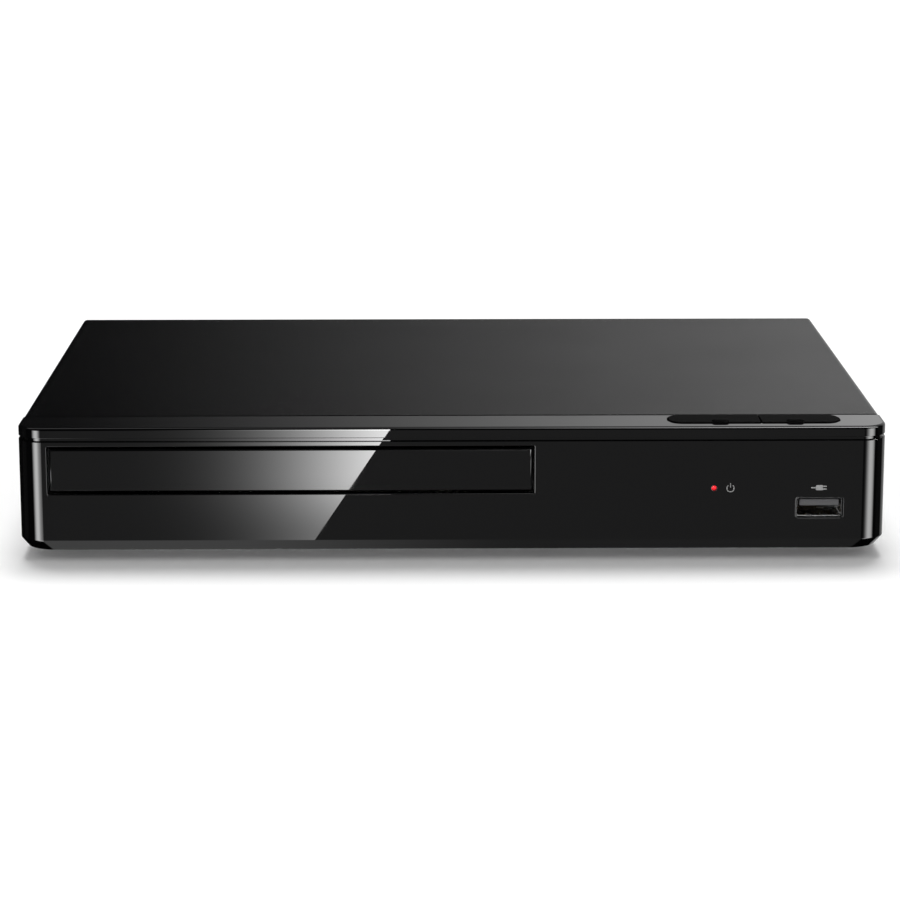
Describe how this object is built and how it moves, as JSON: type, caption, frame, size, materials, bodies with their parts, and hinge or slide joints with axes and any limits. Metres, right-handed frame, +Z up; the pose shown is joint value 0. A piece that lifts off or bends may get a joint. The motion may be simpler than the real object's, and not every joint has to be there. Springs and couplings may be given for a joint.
{
  "type": "disc player",
  "caption": "Flat black disc player with a sliding disc tray behind a drop-in door, two top keys, a front socket and rear jacks.",
  "frame": {"origin": "middle of the overall box, on the surface that the feet stand on", "axes": "+Z up, -Y towards the viewer who faces the front, +X to the right seen from the front"},
  "size_m": [0.245, 0.183, 0.0393],
  "materials": {
    "panel_gloss": "piano black gloss",
    "key_black": "satin black",
    "cover_paint": "satin black paint",
    "rear_paint": "matt black paint",
    "chassis_steel": "zinc-plated steel",
    "bridge_steel": "zinc-plated steel",
    "traverse_steel": "pressed steel",
    "screw_black": "black zinc",
    "screw_steel": "zinc",
    "switch_steel": "tinned cover",
    "socket_steel": "nickel-plated",
    "rod_steel": "ground and plated",
    "motor_can": "zinc-plated can",
    "magnet_metal": "nickel-plated",
    "jack_metal": "nickel-plated",
    "jack_insulator": "orange plastic",
    "board_green": "green solder mask",
    "board_tan": "tan board",
    "chip_black": "epoxy",
    "sink_aluminium": "extruded",
    "tongue_plastic": "dark grey plastic",
    "lamp_red": "tinted lens",
    "sensor_dark": "dark tinted",
    "foot_rubber": "matt",
    "belt_rubber": "matt",
    "pad_rubber": "matt",
    "inlet_plastic": "moulded",
    "core_ferrite": "ferrite with yellow tape",
    "capacitor_sleeve": "dark sleeve",
    "fuse_glass": "glass tube",
    "wire_red": "insulated wire",
    "ribbon_white": "flat cable",
    "loader_plastic": "moulded",
    "tray_plastic": "moulded",
    "clamper_plastic": "moulded",
    "gear_plastic": "acetal",
    "turntable_plastic": "moulded",
    "pickup_metal": "die cast",
    "lens_clear": "coated"
  },
  "bodies": {
    "case": {"front_panel": "panel_gloss", "button_board": "board_green", "tact_switches": "switch_steel", "front_board": "board_green", "usb_shell": "socket_steel", "usb_tongue": "tongue_plastic", "power_led": "lamp_red", "remote_sensor": "sensor_dark", "front_left_foot": "foot_rubber", "front_right_foot": "foot_rubber", "rear_left_foot": "foot_rubber", "rear_right_foot": "foot_rubber", "bottom_chassis": "chassis_steel", "top_cover": "cover_paint", "rear_panel": "rear_paint", "cover_screws": "screw_black", "inner_screws": "screw_steel", "main_board": "board_green", "power_board": "board_tan", "main_processor": "chip_black", "heat_sink": "sink_aluminium", "memory_chips": "chip_black", "hdmi_socket": "socket_steel", "lan_socket": "socket_steel", "coax_jack": "jack_metal", "coax_insulator": "jack_insulator", "mains_inlet": "inlet_plastic", "transformer": "core_ferrite", "bulk_capacitor": "capacitor_sleeve", "fuse": "fuse_glass", "power_harness": "wire_red", "front_ribbon": "ribbon_white", "loader_frame": "loader_plastic", "clamper_bridge": "bridge_steel", "loading_motor": "motor_can", "drive_belt": "belt_rubber"},
    "tray": {"disc_tray": "tray_plastic", "tray_door": "panel_gloss"},
    "power_key": {"power_button": "key_black", "power_plunger": "key_black"},
    "open_key": {"open_button": "key_black", "open_plunger": "key_black"},
    "slider": {"cam_slider": "gear_plastic"},
    "traverse": {"traverse_frame": "traverse_steel", "spindle_motor": "motor_can", "guide_rods": "rod_steel", "sled_motor": "motor_can"},
    "spindle": {"turntable": "turntable_plastic", "turntable_pad": "pad_rubber"},
    "sled": {"pickup_body": "pickup_metal", "actuator_cover": "loader_plastic"},
    "lens": {"objective_lens": "lens_clear"},
    "screw": {"lead_screw": "rod_steel"},
    "clamp": {"clamper": "clamper_plastic", "clamper_magnet": "magnet_metal"},
    "drive_gear": {"tray_gear": "gear_plastic"},
    "middle_gear": {"reduction_gear": "gear_plastic"},
    "belt_gear": {"pulley_gear": "gear_plastic"},
    "motor_wheel": {"motor_pulley": "gear_plastic"}
  },
  "joints": [
    {"name": "tray_slide", "type": "slide", "parent": "case", "child": "tray", "axis": [0, -1, 0], "range_m": [0, 0.133]},
    {"name": "power_press", "type": "slide", "parent": "case", "child": "power_key", "axis": [0, 0, -1], "range_m": [0, 0.0004], "stiffness_N_per_m": 800, "springref_m": -0.0002},
    {"name": "open_press", "type": "slide", "parent": "case", "child": "open_key", "axis": [0, 0, -1], "range_m": [0, 0.0004], "stiffness_N_per_m": 800, "springref_m": -0.0002},
    {"name": "traverse_tilt", "type": "hinge", "parent": "case", "child": "traverse", "pos_m": [-0.0455, 0.0645, 0.015], "axis": [1, 0, 0], "range_deg": [0, 4]},
    {"name": "cam_slide", "type": "slide", "parent": "case", "child": "slider", "axis": [1, 0, 0], "range_m": [0, 0.018]},
    {"name": "spindle_spin", "type": "hinge", "parent": "traverse", "child": "spindle", "pos_m": [-0.0455, -0.0215, 0.024], "axis": [0, 0, 1], "continuous": true},
    {"name": "clamper_spin", "type": "hinge", "parent": "case", "child": "clamp", "pos_m": [-0.0455, -0.0215, 0.03], "axis": [0, 0, 1], "continuous": true},
    {"name": "sled_slide", "type": "slide", "parent": "traverse", "child": "sled", "axis": [0, 1, 0], "range_m": [0, 0.035]},
    {"name": "screw_spin", "type": "hinge", "parent": "traverse", "child": "screw", "pos_m": [-0.009, 0.0285, 0.0168], "axis": [0, 1, 0], "range_deg": [0, 4201]},
    {"name": "lens_focus", "type": "slide", "parent": "sled", "child": "lens", "axis": [0, 0, 1], "range_m": [-0.0004, 0.0004], "stiffness_N_per_m": 300},
    {"name": "tray_gear_spin", "type": "hinge", "parent": "case", "child": "drive_gear", "pos_m": [-0.0025, -0.0695, 0.015], "axis": [0, 0, 1], "range_deg": [-636, 0]},
    {"name": "middle_gear_spin", "type": "hinge", "parent": "case", "child": "middle_gear", "pos_m": [-0.0193, -0.0695, 0.012], "axis": [0, 0, 1], "range_deg": [0, 1906]},
    {"name": "belt_gear_spin", "type": "hinge", "parent": "case", "child": "belt_gear", "pos_m": [-0.0355, -0.0695, 0.018], "axis": [0, 0, 1], "range_deg": [-6669, 0]},
    {"name": "motor_spin", "type": "hinge", "parent": "case", "child": "motor_wheel", "pos_m": [-0.0625, -0.0695, 0.0195], "axis": [0, 0, 1], "range_deg": [-24452, 0]}
  ],
  "couplings": [
    {"joint": "tray_gear_spin", "follows": "tray_slide", "rad_per_m": -83.333},
    {"joint": "middle_gear_spin", "follows": "tray_slide", "rad_per_m": 250},
    {"joint": "belt_gear_spin", "follows": "tray_slide", "rad_per_m": -875},
    {"joint": "motor_spin", "follows": "tray_slide", "rad_per_m": -3208.3},
    {"joint": "cam_slide", "follows": "traverse_tilt", "m_per_rad": 0.25783},
    {"joint": "clamper_spin", "follows": "spindle_spin", "ratio": 1},
    {"joint": "screw_spin", "follows": "sled_slide", "rad_per_m": 2094.4}
  ]
}
